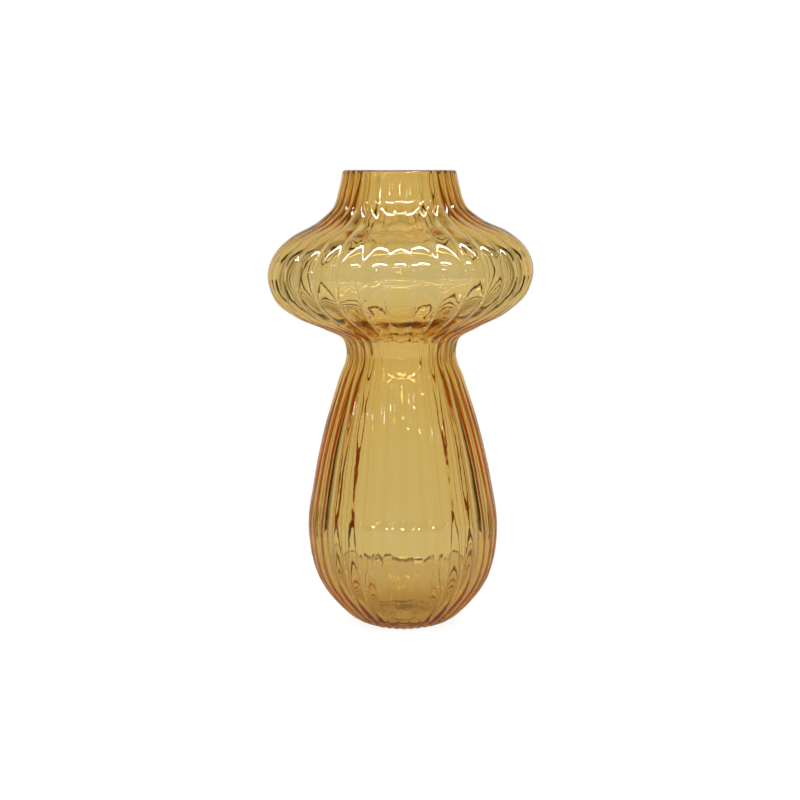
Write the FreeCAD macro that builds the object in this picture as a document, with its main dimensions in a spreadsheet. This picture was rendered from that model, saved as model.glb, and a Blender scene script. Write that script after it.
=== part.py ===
import FreeCAD, Part
import math
import os
from FreeCAD import Placement, Rotation, Vector
import Sketcher

# Mushroom-shaped ribbed vase, mould-blown in one piece of amber glass.
# Frame: origin at the centre of the foot, +Z up the vase, the rim at the top, millimetres.
# The whole wall is one rib, lofted from foot to rim and repeated round the axis.
# The floor is turned and joined to it, and hollowed underneath.

# ---------------------------------------------------------------- driving dimensions
SIZES = {
    "rib_count": 32,          # ribs round the vase, the same from foot to rim
    "rib_rise_ratio": 0.105,  # how far a rib stands out of its valleys, over its width
    "inner_rise_ratio": 0.06, # the same on the inside, where the glass has smoothed out
    "floor_top": 5.0,         # top of the floor, on the axis
    "floor_edge_top": 7.0,    # the floor climbs a little where it meets the wall
    "floor_edge_radius": 29.5,
    "floor_heel_radius": 20.5,
    "foot_ring_inner": 14.0,  # the foot rests on a ring outside this radius
    "punt_rise": 1.6,         # the hollow under the middle of the foot
}

# Levels up the vase: name, height, radius of the rib crests, radius of the inside valleys.
LEVELS = [
    ("foot", 0.0, 21.0, 17.5),
    ("heel", 3.0, 27.5, 20.0),
    ("lower_cup", 12.0, 37.6, 31.6),
    ("cup", 26.0, 47.2, 42.8),
    ("hip", 50.0, 52.4, 48.6),
    ("flank", 80.0, 49.0, 45.1),
    ("shoulder", 110.0, 42.4, 38.3),
    ("stem", 136.0, 34.6, 30.2),
    ("waist", 151.0, 30.0, 25.6),
    ("throat", 158.0, 31.8, 27.0),
    ("under_bulb", 164.0, 41.8, 32.6),
    ("bulb_cup", 172.0, 58.2, 50.4),
    ("bulb_low", 182.0, 69.3, 64.5),
    ("equator", 194.0, 72.7, 68.9),
    ("bulb_high", 205.0, 69.6, 64.9),
    ("bulb_cap", 214.5, 60.2, 52.6),
    ("bulb_fold", 223.0, 44.2, 37.7),
    ("collar", 230.5, 36.2, 31.5),
    ("neck", 240.0, 32.9, 28.5),
    ("rim", 250.0, 30.7, 26.5),
]


def make_sheet(doc):
    """Puts every driving dimension in the spreadsheet, one alias to a cell."""
    sheet = doc.addObject("Spreadsheet::Sheet", "sizes")
    rows = list(SIZES.items())
    for name, height, crest, inside in LEVELS:
        rows.append((name + "_height", height))
        rows.append((name + "_crest", crest))
        rows.append((name + "_inside", inside))
    for row, (alias, value) in enumerate(rows, start=1):
        sheet.set("A%d" % row, alias)
        sheet.set("B%d" % row, str(value))
        sheet.setAlias("B%d" % row, alias)
    doc.recompute()
    return sheet


def origin_feature(body, role):
    """One of the body's own origin planes or axes."""
    return next(item for item in body.Origin.OriginFeatures if item.Role == role)


def new_sketch(body, name, plane):
    sketch = body.newObject("Sketcher::SketchObject", name)
    sketch.AttachmentSupport = [(origin_feature(body, plane), "")]
    sketch.MapMode = "FlatFace"
    return sketch


def bind(sketch, constraint, formula):
    """Adds a dimension whose value is worked out from the sheet."""
    index = sketch.addConstraint(constraint)
    sketch.setExpression("Constraints[%d]" % index, formula)


def arc_radius(crest, valley):
    """Formula for the arc through two valleys and the crest between them, from its rise and half width."""
    half_pitch = "180 deg / sizes.rib_count"
    rise = "(%s - %s * cos(%s))" % (crest, valley, half_pitch)
    half_width = "(%s * sin(%s))" % (valley, half_pitch)
    return "(%s ^ 2 + %s ^ 2) / (2 * %s)" % (rise, half_width, rise)


def rib_section(body, level, height, crest, inside):
    """The cut through one rib at one level: an outer arc, an inner arc and two radial sides.

    The rib's crest lies on +X and its valleys half a pitch to either side.
    """
    pitch_share = "2 * pi / sizes.rib_count"
    outer_crest = "sizes.%s_crest" % level
    outer_valley = "(%s * (1 - sizes.rib_rise_ratio * %s))" % (outer_crest, pitch_share)
    inner_valley = "sizes.%s_inside" % level
    inner_crest = "(%s * (1 + sizes.inner_rise_ratio * %s))" % (inner_valley, pitch_share)

    half = math.pi / SIZES["rib_count"]
    share = 2 * math.pi / SIZES["rib_count"]
    valley = crest * (1 - SIZES["rib_rise_ratio"] * share)
    inside_crest = inside * (1 + SIZES["inner_rise_ratio"] * share)

    def at(radius, angle):
        return Vector(radius * math.cos(angle), radius * math.sin(angle), 0)

    sketch = new_sketch(body, level + "_section", "XY_Plane")
    sketch.AttachmentOffset = Placement(Vector(0, 0, height), Rotation())
    sketch.setExpression("AttachmentOffset.Base.z", "sizes.%s_height" % level)
    outer = sketch.addGeometry(Part.Arc(at(valley, -half), at(crest, 0), at(valley, half)), False)
    left = sketch.addGeometry(Part.LineSegment(at(valley, half), at(inside, half)), False)
    inner = sketch.addGeometry(Part.Arc(at(inside, -half), at(inside_crest, 0), at(inside, half)), False)
    right = sketch.addGeometry(Part.LineSegment(at(inside, -half), at(valley, -half)), False)

    start, end, origin, x_axis = 1, 2, (-1, 1), -1
    sketch.addConstraint([
        Sketcher.Constraint("Coincident", outer, end, left, start),
        Sketcher.Constraint("Coincident", left, end, inner, end),
        Sketcher.Constraint("Coincident", inner, start, right, start),
        Sketcher.Constraint("Coincident", right, end, outer, start),
        Sketcher.Constraint("Symmetric", outer, start, outer, end, x_axis),
        Sketcher.Constraint("Symmetric", inner, start, inner, end, x_axis),
        Sketcher.Constraint("PointOnObject", origin[0], origin[1], left),
    ])
    bind(sketch, Sketcher.Constraint("DistanceY", origin[0], origin[1], outer, end, valley * math.sin(half)),
         "%s * sin(180 deg / sizes.rib_count) * 1 mm" % outer_valley)
    bind(sketch, Sketcher.Constraint("DistanceX", origin[0], origin[1], outer, end, valley * math.cos(half)),
         "%s * cos(180 deg / sizes.rib_count) * 1 mm" % outer_valley)
    bind(sketch, Sketcher.Constraint("DistanceX", origin[0], origin[1], inner, end, inside * math.cos(half)),
         "%s * cos(180 deg / sizes.rib_count) * 1 mm" % inner_valley)
    bind(sketch, Sketcher.Constraint("Radius", outer, sketch.Geometry[outer].Radius),
         "(%s) * 1 mm" % arc_radius(outer_crest, outer_valley))
    bind(sketch, Sketcher.Constraint("Radius", inner, sketch.Geometry[inner].Radius),
         "(%s) * 1 mm" % arc_radius(inner_crest, inner_valley))
    return sketch


def ribbed_wall(body):
    """Lofts one rib through every level and repeats it round the axis."""
    sections = [rib_section(body, *level) for level in LEVELS]
    rib = body.newObject("PartDesign::AdditiveLoft", "one_rib")
    rib.Profile = sections[0]
    rib.Sections = sections[1:]
    rib.Ruled = False
    ribs = body.newObject("PartDesign::PolarPattern", "all_ribs")
    ribs.Originals = [rib]
    ribs.Axis = (origin_feature(body, "Z_Axis"), [""])
    ribs.Angle = 360
    ribs.setExpression("Occurrences", "sizes.rib_count")
    ribs.Refine = True
    body.Tip = ribs


def vase_floor(body):
    """Turns the floor inside the foot of the wall: a flat foot, a sloping heel and a slightly dished top."""
    sketch = new_sketch(body, "floor_outline", "XZ_Plane")
    middle = Vector(0, 0, 0)
    heel = Vector(SIZES["floor_heel_radius"], 0, 0)
    edge = Vector(SIZES["floor_edge_radius"], SIZES["floor_edge_top"], 0)
    top = Vector(0, SIZES["floor_top"], 0)
    corners = [middle, heel, edge, top]
    sides = [Part.LineSegment(first, second) for first, second in zip(corners, corners[1:] + corners[:1])]
    foot, heel_side, floor_face, axis_side = sketch.addGeometry(sides, False)
    start, end, origin, y_axis = 1, 2, (-1, 1), -2
    sketch.addConstraint([
        Sketcher.Constraint("Coincident", foot, end, heel_side, start),
        Sketcher.Constraint("Coincident", heel_side, end, floor_face, start),
        Sketcher.Constraint("Coincident", floor_face, end, axis_side, start),
        Sketcher.Constraint("Coincident", axis_side, end, foot, start),
        Sketcher.Constraint("Coincident", foot, start, *origin),
        Sketcher.Constraint("Horizontal", foot),
        Sketcher.Constraint("PointOnObject", axis_side, start, y_axis),
    ])
    bind(sketch, Sketcher.Constraint("DistanceX", *origin, foot, end, heel.x), "sizes.floor_heel_radius * 1 mm")
    bind(sketch, Sketcher.Constraint("DistanceX", *origin, heel_side, end, edge.x), "sizes.floor_edge_radius * 1 mm")
    bind(sketch, Sketcher.Constraint("DistanceY", *origin, heel_side, end, edge.y), "sizes.floor_edge_top * 1 mm")
    bind(sketch, Sketcher.Constraint("DistanceY", *origin, axis_side, start, top.y), "sizes.floor_top * 1 mm")
    floor = body.newObject("PartDesign::Revolution", "vase_floor")
    floor.Profile = sketch
    floor.ReferenceAxis = (sketch, ["V_Axis"])
    floor.Angle = 360
    body.Tip = floor


def hollow_punt(body):
    """Hollows the middle of the foot with a large sphere, which leaves a flat ring to stand on."""
    ball = body.newObject("PartDesign::SubtractiveSphere", "punt")
    ball.setExpression("Radius", "(sizes.foot_ring_inner ^ 2 + sizes.punt_rise ^ 2) / (2 * sizes.punt_rise) * 1 mm")
    ball.AttachmentSupport = [(origin_feature(body, "XY_Plane"), "")]
    ball.MapMode = "FlatFace"
    ball.setExpression("AttachmentOffset.Base.z", "sizes.punt_rise * 1 mm - Radius")
    body.Tip = ball


def check(doc, bodies):
    """Stops with a message if any object failed or any shape is not a sound solid."""
    for item in doc.Objects:
        if "Invalid" in item.State or "Error" in item.State:
            raise RuntimeError("%s failed: %s" % (item.Label, item.State))
    for body in bodies:
        shape = body.Shape
        if shape.isNull() or not shape.isValid() or len(shape.Solids) != 1:
            raise RuntimeError("%s is not one sound solid" % body.Label)


def main():
    doc = FreeCAD.newDocument("ribbed_vase")
    make_sheet(doc)
    vase = doc.addObject("PartDesign::Body", "glass_vase")
    vase.Label = "glass_vase"
    vase.Placement = Placement(Vector(0, 0, 0), Rotation())
    ribbed_wall(vase)
    doc.recompute()
    vase_floor(vase)
    hollow_punt(vase)
    doc.recompute()
    check(doc, [vase])
    os.makedirs("parts", exist_ok=True)
    for body in [vase]:
        body.Shape.exportStep("parts/%s.step" % body.Label)
        box = body.Shape.BoundBox
        print("%s: %.1f x %.1f x %.1f mm, %.0f cm3 of glass"
              % (body.Label, box.XLength, box.YLength, box.ZLength, body.Shape.Volume / 1000))


main()
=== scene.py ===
import math

import bpy
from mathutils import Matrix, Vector


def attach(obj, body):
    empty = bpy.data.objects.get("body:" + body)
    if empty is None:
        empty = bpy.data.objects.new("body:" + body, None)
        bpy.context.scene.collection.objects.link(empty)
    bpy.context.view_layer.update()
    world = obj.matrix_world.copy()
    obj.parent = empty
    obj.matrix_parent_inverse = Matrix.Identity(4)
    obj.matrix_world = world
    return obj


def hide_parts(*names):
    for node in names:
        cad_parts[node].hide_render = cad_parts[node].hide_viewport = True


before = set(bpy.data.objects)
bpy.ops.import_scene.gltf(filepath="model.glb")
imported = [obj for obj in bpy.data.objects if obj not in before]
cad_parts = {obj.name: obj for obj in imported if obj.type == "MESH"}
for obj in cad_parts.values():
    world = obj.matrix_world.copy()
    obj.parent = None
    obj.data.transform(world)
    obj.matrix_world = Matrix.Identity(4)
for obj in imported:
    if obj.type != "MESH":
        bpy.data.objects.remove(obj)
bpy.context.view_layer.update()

MM = 0.001

# ---------------------------------------------------------------- sizes of the vase, in millimetres
RIB_COUNT = 32              # ribs round the vase, unbroken from rim to foot
STEPS_PER_RIB = 10          # faces across one rib
RIB_RISE = 0.105            # how far a rib stands out of its valleys, over its width
INSIDE_SHARE = 0.55         # how much of the ribs the inside follows where the wall is thick
THIN_WALL_SHARE = 0.85      # and where it is blown thin
VALLEY_SOFTNESS = 0.10      # 0 is a knife-sharp valley
VALLEY_CROWDING = 0.55      # how much closer together the faces are in a valley than on a crest
BULB_WALL = 2.3             # wall thickness at the bulb's equator, where the glass was blown out furthest
BULB_RADIUS = 72.7
WALL_GROWTH = 0.55          # how fast the wall thickens where the vase is narrower
FLOOR_TOP = 5.0             # top of the floor on the axis
RIM_HEIGHT = 250.0          # the lip above the table
RIM_ROUND = 1.1             # how far below the lip the fire-polished rounding starts
RIM_STEPS = 12              # steps round the lip, from the outside to the inside
FLOOR_CORNER = 4.0          # how far above the floor's top the inside wall ends and the floor's curve starts
POINTS_PER_SPAN = 6         # points along the outline between two levels

# Levels up the outside: height and radius over the rib crests.
OUTSIDE = [
    (0.0, 21.0), (3.0, 27.5), (12.0, 37.6), (26.0, 47.2), (50.0, 52.4), (80.0, 49.0), (110.0, 42.4),
    (136.0, 34.6), (151.0, 30.0), (158.0, 31.8), (164.0, 41.8), (172.0, 58.2), (182.0, 69.3), (194.0, 72.7),
    (205.0, 69.6), (214.5, 60.2), (223.0, 44.2), (230.5, 36.2), (240.0, 32.9), (250.0, 30.7),
]
PUNT = [(1.6, 0.0), (1.2, 7.0), (0.0, 14.5), (0.0, 18.0)]  # height and radius under the foot

# How the vase differs from a perfect mould, as hand-made glass does.
HANDWORK = {
    "Wander": 0.030,        # spread of the ribs from their true places, in radians
    "Ripple": 0.00045,      # spread of the surface in and out, in metres
    "Lean": 0.010,          # sideways over height, of the whole vase
    "Bulb Tilt": 0.026,     # of the bulb, in radians
}


# ---------------------------------------------------------------- small helpers
def linear(hex_colour):
    """Linear red, green and blue of an sRGB hex colour."""
    def one(part):
        value = int(part, 16) / 255
        return value / 12.92 if value <= 0.04045 else ((value + 0.055) / 1.055) ** 2.4
    return tuple(one(hex_colour[i:i + 2]) for i in (1, 3, 5))


def add_node(tree, kind, settings=None, **inputs):
    """Adds a node, sets its properties, and sets or links its inputs.

    An input is given by its name, with spaces as _, or by its place as i0, i1 and so on.
    """
    node = tree.nodes.new(kind)
    for name, value in (settings or {}).items():
        setattr(node, name, value)
    for name, value in inputs.items():
        if name[0] == "i" and name[1:].isdigit():
            socket = node.inputs[int(name[1:])]
        else:
            socket = node.inputs[name.replace("_", " ")]
        if isinstance(value, bpy.types.NodeSocket):
            tree.links.new(value, socket)
        else:
            socket.default_value = value
    return node


def sums_in(tree):
    """A function that adds a sum to the tree and gives its result."""
    def maths(operation, first, second=0.0):
        return add_node(tree, "ShaderNodeMath", {"operation": operation}, i0=first, i1=second).outputs[0]
    return maths


# ---------------------------------------------------------------- the outline
def smooth_line(points, per_span):
    """Points along a smooth curve through the given ones, the same number in every span."""
    points = [Vector(p) for p in points]
    gaps = [(b - a).length for a, b in zip(points, points[1:])]
    tangents = []
    for i, point in enumerate(points):
        if i == 0:
            tangents.append((points[1] - point) / gaps[0])
        elif i == len(points) - 1:
            tangents.append((point - points[i - 1]) / gaps[-1])
        else:
            before = (point - points[i - 1]) / gaps[i - 1]
            after = (points[i + 1] - point) / gaps[i]
            tangents.append((before * gaps[i] + after * gaps[i - 1]) / (gaps[i] + gaps[i - 1]))
    line = []
    for i, gap in enumerate(gaps):
        for step in range(per_span):
            t = step / per_span
            a, b = points[i], points[i + 1]
            ma, mb = tangents[i] * gap, tangents[i + 1] * gap
            line.append(
                a * (2 * t ** 3 - 3 * t ** 2 + 1) + ma * (t ** 3 - 2 * t ** 2 + t)
                + b * (3 * t ** 2 - 2 * t ** 3) + mb * (t ** 3 - t ** 2)
            )
    line.append(points[-1])
    return line


def normals_of(line):
    """Outward normal of each point of a (height, radius) line that climbs the outside."""
    result = []
    for i in range(len(line)):
        along = line[min(i + 1, len(line) - 1)] - line[max(i - 1, 0)]
        result.append(Vector((-along.y, along.x)).normalized())
    return result


def inside_share(radius):
    """How much of the ribs the inside follows at that radius: more where the bulb is blown out thin."""
    thin = min(1.0, max(0.0, (radius - 50.0) / (BULB_RADIUS - 50.0)))
    return INSIDE_SHARE + (THIN_WALL_SHARE - INSIDE_SHARE) * thin


def outline():
    """The whole section as (height, radius, normal height, normal radius, rib share), in metres.

    It runs from the axis under the foot, up the outside, over the rounded rim, down the inside and in
    across the floor to the axis.
    """
    outer = smooth_line(OUTSIDE, POINTS_PER_SPAN)
    outer_normals = normals_of(outer)
    rows = []
    under = smooth_line(PUNT + [OUTSIDE[0]], 5)[:-1]
    for point in under:
        rows.append((point, Vector((-1.0, 0.0)), min(1.0, point.y / 10.0)))
    body = [(p, n) for p, n in zip(outer, outer_normals) if p.x < RIM_HEIGHT - RIM_ROUND]
    for point, normal in body:
        rows.append((point, normal, 1.0))
    inner = []
    for point, normal in zip(outer, outer_normals):
        shrink = RIB_RISE * (1 - inside_share(point.y)) * 2 * math.pi * point.y / RIB_COUNT
        wall = BULB_WALL * (BULB_RADIUS / max(point.y, 28.0)) ** WALL_GROWTH
        inner.append((point - normal * (wall + shrink), normal))
    top_out = body[-1][0]
    inner_body = [(p, n) for p, n in inner if FLOOR_TOP + FLOOR_CORNER < p.x < RIM_HEIGHT - RIM_ROUND]
    top_in = inner_body[-1][0]
    centre = (top_out + top_in) / 2
    half = (top_out.y - top_in.y) / 2
    lift = RIM_HEIGHT - max(top_out.x, top_in.x)
    for step in range(1, RIM_STEPS):
        turn = math.pi * step / RIM_STEPS
        point = Vector((
            max(top_out.x, top_in.x) + lift * math.sin(turn) ** 0.8,
            centre.y + half * math.cos(turn),
        ))
        share = 1.0 + (INSIDE_SHARE - 1.0) * step / RIM_STEPS
        rows.append((point, Vector((0.0, 1.0)), share))
    for point, normal in reversed(inner_body):
        rows.append((point, -normal, -inside_share(point.y)))
    low = inner_body[0][0]
    floor_levels = [low, (FLOOR_TOP + 1.8, low.y - 4.5), (FLOOR_TOP + 0.4, low.y - 11.0), (FLOOR_TOP, 0.0)]
    floor = smooth_line(floor_levels, 8)[1:]
    for point in floor:
        rows.append((point, Vector((1.0, 0.0)), -INSIDE_SHARE * min(1.0, point.y / 25.0)))
    return rows


def outline_mesh():
    """The section as a mesh of points joined by edges, with its normal and its share of the ribs on it."""
    rows = outline()
    mesh = bpy.data.meshes.new("vase_outline")
    places = [(point.y * MM, 0.0, point.x * MM) for point, normal, share in rows]
    mesh.from_pydata(places, [(i, i + 1) for i in range(len(places) - 1)], [])
    mesh.attributes.new("outward", "FLOAT_VECTOR", "POINT")
    mesh.attributes.new("rib_share", "FLOAT", "POINT")
    for i, (point, normal, share) in enumerate(rows):
        mesh.attributes["outward"].data[i].vector = (normal.y, 0.0, normal.x)
        mesh.attributes["rib_share"].data[i].value = share
    return mesh


# ---------------------------------------------------------------- the ribbed wall as a node tree
def rib_tree():
    """Turns an outline into a closed ribbed shell: a grid of outline points times angles.

    The wall is pressed in at the valleys, and left where it is on the crests.
    """
    tree = bpy.data.node_groups.new("ribbed_shell", "GeometryNodeTree")
    face = tree.interface
    face.new_socket("Outline", in_out="INPUT", socket_type="NodeSocketGeometry")
    for name, kind, value in (
        ("Rib Count", "NodeSocketInt", RIB_COUNT),
        ("Steps per Rib", "NodeSocketInt", STEPS_PER_RIB),
        ("Rib Rise", "NodeSocketFloat", RIB_RISE),
        ("Valley Softness", "NodeSocketFloat", VALLEY_SOFTNESS),
        ("Valley Crowding", "NodeSocketFloat", VALLEY_CROWDING),
        ("Wander", "NodeSocketFloat", 0.0),
        ("Ripple", "NodeSocketFloat", 0.0),
        ("Lean", "NodeSocketFloat", 0.0),
        ("Bulb Tilt", "NodeSocketFloat", 0.0),
    ):
        face.new_socket(name, in_out="INPUT", socket_type=kind).default_value = value
    face.new_socket("Glass", in_out="INPUT", socket_type="NodeSocketMaterial")
    face.new_socket("Shell", in_out="OUTPUT", socket_type="NodeSocketGeometry")

    given = tree.nodes.new("NodeGroupInput").outputs
    maths = sums_in(tree)

    count = add_node(tree, "GeometryNodeAttributeDomainSize", {"component": "MESH"}, Geometry=given["Outline"])
    columns = maths("MULTIPLY", given["Rib Count"], given["Steps per Rib"])
    columns_closed = maths("ADD", columns, 1.0)
    grid = add_node(tree, "GeometryNodeMeshGrid", None, Vertices_X=count.outputs["Point Count"],
                    Vertices_Y=columns_closed)
    index = tree.nodes.new("GeometryNodeInputIndex").outputs[0]
    row = maths("FLOOR", maths("DIVIDE", maths("ADD", index, 0.5), columns_closed))
    column = maths("SUBTRACT", index, maths("MULTIPLY", row, columns_closed))
    # the last column repeats the first, so it takes the first one's angle and the seam closes exactly
    evenly = maths("MULTIPLY", maths("MODULO", column, columns), maths("DIVIDE", 2 * math.pi, columns))
    bunching = maths("SINE", maths("MULTIPLY", evenly, given["Rib Count"]))
    crowd = maths("MULTIPLY", bunching, given["Valley Crowding"])
    in_mould = maths("ADD", evenly, maths("DIVIDE", crowd, given["Rib Count"]))

    def from_outline(data_type, field):
        node = add_node(tree, "GeometryNodeSampleIndex", {"data_type": data_type, "domain": "POINT"},
                        Geometry=given["Outline"], Value=field, Index=row)
        return node.outputs[0]

    place = tree.nodes.new("GeometryNodeInputPosition").outputs[0]
    outward = add_node(tree, "GeometryNodeInputNamedAttribute", {"data_type": "FLOAT_VECTOR"}, Name="outward")
    share = add_node(tree, "GeometryNodeInputNamedAttribute", {"data_type": "FLOAT"}, Name="rib_share")
    point = add_node(tree, "ShaderNodeSeparateXYZ", None, i0=from_outline("FLOAT_VECTOR", place))
    normal = add_node(tree, "ShaderNodeSeparateXYZ", None, i0=from_outline("FLOAT_VECTOR", outward.outputs[0]))
    rib_share = from_outline("FLOAT", share.outputs[0])
    radius, height = point.outputs["X"], point.outputs["Z"]

    # each rib wanders a little from its true place, slowly, as ribs do when the gather is turned and blown
    around = add_node(tree, "ShaderNodeCombineXYZ", None,
                      X=maths("COSINE", in_mould),
                      Y=maths("SINE", in_mould),
                      Z=maths("MULTIPLY", height, 9.0)).outputs[0]
    wandering = add_node(tree, "ShaderNodeTexNoise", {"noise_dimensions": "3D"}, Vector=around, Scale=1.6,
                         Detail=1.0)
    astray = maths("MULTIPLY", maths("SUBTRACT", wandering.outputs[0], 0.5), given["Wander"])
    turn = maths("ADD", in_mould, astray)

    # 1 on a crest and 0 in a valley: round lobes that meet in narrow soft valleys
    wave = maths("COSINE", maths("MULTIPLY", in_mould, maths("MULTIPLY", given["Rib Count"], 0.5)))
    soft = maths("MULTIPLY", given["Valley Softness"], given["Valley Softness"])
    raised = maths("SUBTRACT", maths("SQRT", maths("ADD", maths("MULTIPLY", wave, wave), soft)),
                   given["Valley Softness"])
    full = maths("SUBTRACT", maths("SQRT", maths("ADD", soft, 1.0)), given["Valley Softness"])
    valley = maths("SUBTRACT", 1.0, maths("DIVIDE", raised, full))

    pitch = maths("DIVIDE", maths("MULTIPLY", radius, 2 * math.pi), given["Rib Count"])
    press = maths("MULTIPLY", maths("MULTIPLY", maths("MULTIPLY", pitch, given["Rib Rise"]), rib_share), valley)

    # slow ripples of the surface, a fraction of a millimetre, different inside and out
    side = maths("MULTIPLY", maths("SIGN", rib_share), 3.0)
    loose = add_node(tree, "ShaderNodeCombineXYZ", None,
                     X=maths("MULTIPLY", radius, maths("COSINE", turn)),
                     Y=maths("MULTIPLY", radius, maths("SINE", turn)),
                     Z=maths("ADD", height, side)).outputs[0]
    ripple = add_node(tree, "ShaderNodeTexNoise", {"noise_dimensions": "3D"}, Vector=loose, Scale=70.0,
                      Detail=2.0)
    wall_only = maths("MULTIPLY", maths("MINIMUM", maths("ABSOLUTE", rib_share), 0.4), 2.5)
    swell = maths("MULTIPLY", maths("MULTIPLY", maths("SUBTRACT", ripple.outputs[0], 0.5), given["Ripple"]),
                  wall_only)
    move = maths("SUBTRACT", swell, press)

    r = maths("ADD", radius, maths("MULTIPLY", normal.outputs["X"], move))
    z = maths("MAXIMUM", maths("ADD", height, maths("MULTIPLY", normal.outputs["Z"], move)), 0.0)
    x = maths("MULTIPLY", r, maths("COSINE", turn))
    y = maths("MULTIPLY", r, maths("SINE", turn))

    # the bulb hangs a little to one side between waist and neck, and the whole vase leans a little
    rising = add_node(tree, "ShaderNodeMapRange", {"interpolation_type": "SMOOTHSTEP"}, Value=height,
                      From_Min=0.152, From_Max=0.178).outputs[0]
    falling = add_node(tree, "ShaderNodeMapRange", {"interpolation_type": "SMOOTHSTEP"}, Value=height,
                       From_Min=0.245, From_Max=0.210).outputs[0]
    tilt = maths("MULTIPLY", maths("MULTIPLY", rising, falling), given["Bulb Tilt"])
    z = maths("ADD", z, maths("MULTIPLY", x, tilt))
    x = maths("SUBTRACT", x, maths("MULTIPLY", height, given["Lean"]))

    where = add_node(tree, "ShaderNodeCombineXYZ", None, X=x, Y=y, Z=z).outputs[0]
    shell = add_node(tree, "GeometryNodeSetPosition", None, Geometry=grid.outputs["Mesh"], Position=where)
    closed = add_node(tree, "GeometryNodeMergeByDistance", None, Geometry=shell.outputs[0], Distance=1e-6)
    outwards = add_node(tree, "GeometryNodeFlipFaces", None, Mesh=closed.outputs[0])
    smooth = add_node(tree, "GeometryNodeSetShadeSmooth", None, Geometry=outwards.outputs[0])
    real = add_node(tree, "GeometryNodeRealizeInstances", None, Geometry=smooth.outputs[0])
    glass = add_node(tree, "GeometryNodeSetMaterial", None, Geometry=real.outputs[0], Material=given["Glass"])
    end = tree.nodes.new("NodeGroupOutput")
    tree.links.new(glass.outputs[0], end.inputs["Shell"])
    return tree


def ribbed_vase(glass):
    """The vase as one closed plain mesh."""
    start = bpy.data.objects.new("vase_outline", outline_mesh())
    bpy.context.scene.collection.objects.link(start)
    modifier = start.modifiers.new("ribbed_shell", "NODES")
    modifier.node_group = rib_tree()
    sockets = {item.name: item.identifier for item in modifier.node_group.interface.items_tree
               if item.in_out == "INPUT"}
    for name, value in (HANDWORK | {"Glass": glass}).items():
        modifier[sockets[name]] = value
    bpy.context.view_layer.update()
    shell = bpy.data.meshes.new_from_object(start.evaluated_get(bpy.context.evaluated_depsgraph_get()))
    bpy.data.objects.remove(start)
    for name in ("outward", "rib_share"):
        if name in shell.attributes:
            shell.attributes.remove(shell.attributes[name])
    shell.name = "ribbed_glass"
    vase = bpy.data.objects.new("ribbed_glass_vase", shell)
    bpy.context.scene.collection.objects.link(vase)
    return vase


# ---------------------------------------------------------------- mould-blown amber soda-lime glass
def amber_glass():
    """Soda-lime glass coloured right through and fire-polished: clear, sharp highlights, and a colour that
    deepens from honey where the wall is thin to burnt orange where the eye looks along it."""
    material = bpy.data.materials.new("mould_blown_amber_glass")
    material.use_nodes = True
    tree = material.node_tree
    tree.nodes.clear()
    spot = tree.nodes.new("ShaderNodeTexCoord").outputs["Object"]
    # chill marks where hot glass met the mould: shallow, about 6 mm apart, stretched up the vase
    stretched = add_node(tree, "ShaderNodeMapping", None, Vector=spot, Scale=(1.0, 1.0, 0.35))
    chill = add_node(tree, "ShaderNodeTexNoise", None, Vector=stretched.outputs[0], Scale=160.0, Detail=2.0)
    skin = add_node(tree, "ShaderNodeBump", None, Strength=0.05, Distance=0.001, Height=chill.outputs[0])
    surface = add_node(tree, "ShaderNodeBsdfPrincipled", None, Base_Color=(1, 1, 1, 1), Roughness=0.0,
                       IOR=1.52, Transmission_Weight=1.0, Normal=skin.outputs[0])
    inside = add_node(tree, "ShaderNodeVolumeAbsorption", None, Color=(0.955, 0.790, 0.27, 1), Density=300.0)
    output = add_node(tree, "ShaderNodeOutputMaterial", None, Surface=surface.outputs[0],
                      Volume=inside.outputs[0])
    output.is_active_output = True
    return material


# ---------------------------------------------------------------- the studio
# Bearings are measured from straight behind the vase, and slopes are the upward part of a direction,
# from -1 straight down to 1 straight up.
PANEL_LIGHT = 0.71          # brightness of the backdrop behind the vase, as the glass sees it
GAP_LIGHT = 0.01            # and of the dark gap in it on each side
GAP_BEARING = math.radians(40)
GAP_HALF_WIDTH = math.radians(5)
GAP_SOFTNESS = 0.03         # how wide the gap's edge is, in radians
GAP_MIDDLE_SLOPE = 0.06     # the gap is closed by backdrop near this slope
GAP_CLOSED_SLOPES = (0.12, 0.18)    # how far from it the backdrop starts and ends giving way to the gap
SIDE_BEARINGS = (math.radians(50), math.radians(62))   # where the backdrop fades to the dark side of the room
SIDE_LIGHT = 0.06           # share of the light that is left beside and in front of the vase
TOP_SLOPES = (0.55, 0.95)   # where the ceiling dims
TOP_LIGHT = 0.35            # and to what share
FOOT_SLOPES = (-0.62, -0.48)        # where the light comes back in from below
FOOT_LIGHT = 0.02           # share of it that is left straight below
WARM_WHITE = (1.0, 0.965, 0.77)
TABLE_EDGE = 0.143          # how far behind the vase the table ends, in metres


def plain_material(name, colour, glow=(0, 0, 0), glow_in_view=0.0):
    """A matt board. It may glow a little, and white where the camera looks straight at it."""
    material = bpy.data.materials.new(name)
    material.use_nodes = True
    tree = material.node_tree
    surface = tree.nodes["Principled BSDF"]
    surface.inputs["Base Color"].default_value = (*colour, 1)
    surface.inputs["Roughness"].default_value = 0.9
    surface.inputs["Emission Strength"].default_value = 1.0
    straight = tree.nodes.new("ShaderNodeLightPath").outputs["Is Camera Ray"]
    shown = add_node(tree, "ShaderNodeMix", {"data_type": "RGBA"}, i0=straight, i6=(*glow, 1),
                     i7=(glow_in_view,) * 3 + (1,))
    tree.links.new(shown.outputs[2], surface.inputs["Emission Color"])
    return material


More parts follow.
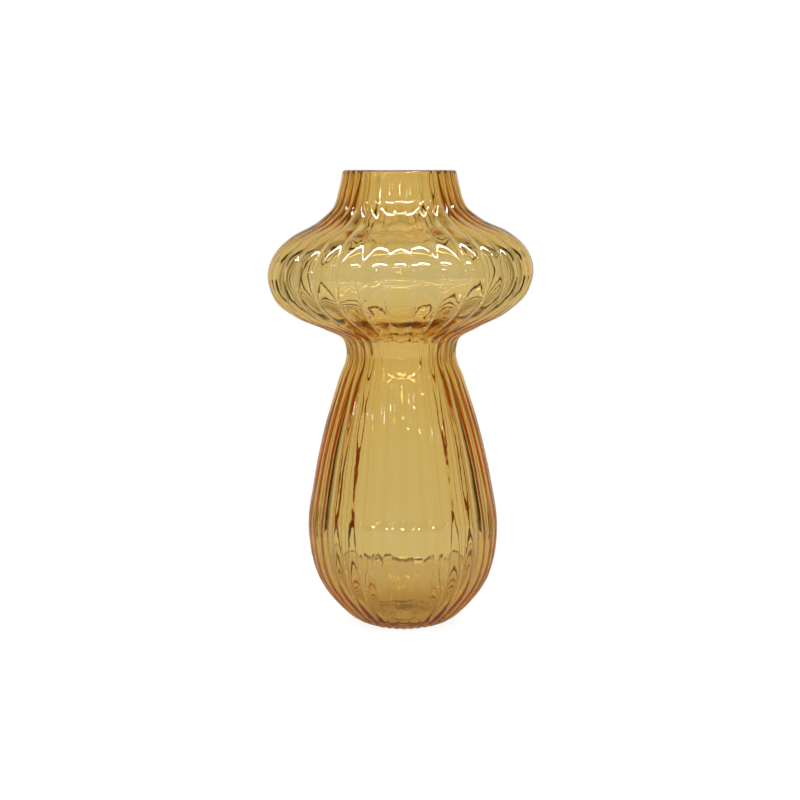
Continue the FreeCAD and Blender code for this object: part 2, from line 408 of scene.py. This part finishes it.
def card(name, centre, size, turn, material):
    """A flat rectangular board, centre and size in metres, turn in degrees about X, Y and Z."""
    mesh = bpy.data.meshes.new(name)
    w, h = size[0] / 2, size[1] / 2
    mesh.from_pydata([(-w, -h, 0), (w, -h, 0), (w, h, 0), (-w, h, 0)], [], [(0, 1, 2, 3)])
    mesh.materials.append(material)
    board = bpy.data.objects.new(name, mesh)
    board.location = centre
    board.rotation_euler = [math.radians(a) for a in turn]
    bpy.context.scene.collection.objects.link(board)
    return board


def lamp(name, place, target, size, power, colour=(1, 1, 1)):
    """A rectangular soft light at place, turned to target."""
    light = bpy.data.lights.new(name, "AREA")
    light.shape = "RECTANGLE"
    light.size, light.size_y = size
    light.energy = power
    light.color = colour
    thing = bpy.data.objects.new(name, light)
    thing.location = place
    thing.rotation_euler = (Vector(target) - Vector(place)).to_track_quat("-Z", "Y").to_euler()
    bpy.context.scene.collection.objects.link(thing)
    return thing


def studio():
    """A table that glows as painted light, a dark card painted as the shadow in the backdrop's crease, seven
    soft lamps and the room that the glass bends and mirrors.
    """
    scene = bpy.context.scene
    scene.view_settings.view_transform = "Standard"
    # a ray crosses many walls of glass before it leaves the vase
    scene.cycles.max_bounces = 24
    scene.cycles.transmission_bounces = 24
    scene.cycles.glossy_bounces = 12
    scene.cycles.caustics_refractive = True
    scene.cycles.caustics_reflective = False
    scene.cycles.use_denoising = True

    scene.world = studio_walls()
    # painted light: the table is dark grey and glows a warm amber to the glass, in place of the light that
    # falls through the vase onto it, so no contact shadow shows under the foot; the camera sees it glow white
    table = plain_material("table_painted_light", (0.12, 0.12, 0.12), (0.37, 0.31, 0.18), 0.9)
    card("floor", (0, TABLE_EDGE - 3, 0), (6, 6), (0, 0, 0), table)
    # painted shade: a dark card where the table meets the backdrop, standing in for the shadow in that crease;
    # only the glass sees it
    crease = card("painted_crease_shadow", (0, TABLE_EDGE, 0.0012), (6, 0.0024), (90, 0, 0),
                  plain_material("shadow", (0.30, 0.24, 0.18)))
    crease.visible_camera = False
    middle = (0, 0, 0.15)
    lamp("overhead_strip", (0, -0.06, 1.75), middle, (4.0, 0.07), 60)
    lamp("second_strip", (0, -2.2, 2.15), middle, (3.0, 0.07), 75)
    lamp("front_window", (-0.02, -3.0, 1.86), middle, (0.16, 0.12), 3.8, linear("#fff2cc"))
    lamp("low_window", (0.15, -3.0, 1.60), middle, (0.30, 0.025), 1.4, linear("#fff6dc"))
    lamp("level_window", (0.0, -2.6, 0.10), middle, (0.50, 0.05), 1.8, linear("#fff6dc"))
    lamp("left_window", (-1.9, -1.3, 1.0), middle, (0.10, 0.07), 1.3, linear("#fff0ee"))
    lamp("right_window", (1.7, -1.6, 0.95), middle, (0.08, 0.06), 0.9, linear("#fff0ee"))


def studio_walls():
    """The room round the vase: a warm pale backdrop behind it, with a narrow dark gap on each side, and a
    dark room beside it and in front.

    This is what the glass bends and mirrors. The camera is shown plain white instead of it.
    """
    world = bpy.data.worlds.new("studio_walls")
    world.use_nodes = True
    tree = world.node_tree
    tree.nodes.clear()
    direction = tree.nodes.new("ShaderNodeTexCoord").outputs["Generated"]
    look = add_node(tree, "ShaderNodeSeparateXYZ", None, Vector=direction)
    maths = sums_in(tree)

    bearing = maths("ARCTAN2", look.outputs["X"], look.outputs["Y"])
    from_gap = maths("ABSOLUTE", maths("SUBTRACT", maths("ABSOLUTE", bearing), GAP_BEARING))
    closed = add_node(tree, "ShaderNodeMapRange", {"interpolation_type": "SMOOTHSTEP"},
                      Value=maths("ABSOLUTE", maths("SUBTRACT", look.outputs["Z"], GAP_MIDDLE_SLOPE)),
                      From_Min=GAP_CLOSED_SLOPES[0], From_Max=GAP_CLOSED_SLOPES[1], To_Min=1.0,
                      To_Max=0.0).outputs[0]
    in_gap = add_node(tree, "ShaderNodeMapRange", {"interpolation_type": "SMOOTHSTEP"}, Value=from_gap,
                      From_Min=GAP_HALF_WIDTH, From_Max=GAP_HALF_WIDTH + GAP_SOFTNESS, To_Min=GAP_LIGHT,
                      To_Max=PANEL_LIGHT).outputs[0]
    panel = maths("MAXIMUM", in_gap, maths("MULTIPLY", closed, PANEL_LIGHT))
    beside = add_node(tree, "ShaderNodeMapRange", {"interpolation_type": "SMOOTHSTEP"},
                      Value=maths("ABSOLUTE", bearing), From_Min=SIDE_BEARINGS[0],
                      From_Max=SIDE_BEARINGS[1], To_Min=1.0, To_Max=SIDE_LIGHT).outputs[0]
    top = add_node(tree, "ShaderNodeMapRange", {"interpolation_type": "SMOOTHSTEP"}, Value=look.outputs["Z"],
                   From_Min=TOP_SLOPES[0], From_Max=TOP_SLOPES[1], To_Min=1.0, To_Max=TOP_LIGHT).outputs[0]
    foot = add_node(tree, "ShaderNodeMapRange", {"interpolation_type": "SMOOTHSTEP"}, Value=look.outputs["Z"],
                    From_Min=FOOT_SLOPES[0], From_Max=FOOT_SLOPES[1], To_Min=FOOT_LIGHT,
                    To_Max=1.0).outputs[0]
    strength = maths("MULTIPLY", maths("MULTIPLY", maths("MULTIPLY", panel, beside), top), foot)
    air = add_node(tree, "ShaderNodeBackground", None, Color=(*WARM_WHITE, 1), Strength=strength)
    behind = add_node(tree, "ShaderNodeBackground", None, Color=(1, 1, 1, 1), Strength=1.0)
    straight = tree.nodes.new("ShaderNodeLightPath").outputs["Is Camera Ray"]
    both = add_node(tree, "ShaderNodeMixShader", None, i0=straight, i1=air.outputs[0], i2=behind.outputs[0])
    add_node(tree, "ShaderNodeOutputWorld", None, Surface=both.outputs[0])
    return world


def camera():
    """Level with the rim and a metre away, looking down to the middle of the vase."""
    rim_level = RIM_HEIGHT * MM
    distance = 1.0
    sideways = -0.0022
    downward = 7.175        # degrees below level
    focal_share = 1827 / 800    # focal length over the width of the frame
    data = bpy.data.cameras.new("camera")
    data.sensor_width = 36.0
    data.lens = data.sensor_width * focal_share
    thing = bpy.data.objects.new("camera", data)
    thing.location = (sideways, -distance, rim_level)
    thing.rotation_euler = (math.radians(90 - downward), 0, 0)
    bpy.context.scene.collection.objects.link(thing)
    bpy.context.scene.camera = thing


# ---------------------------------------------------------------- putting it together
camera()
studio()
vase = ribbed_vase(amber_glass())
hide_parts("glass_vase")
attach(vase, "root")
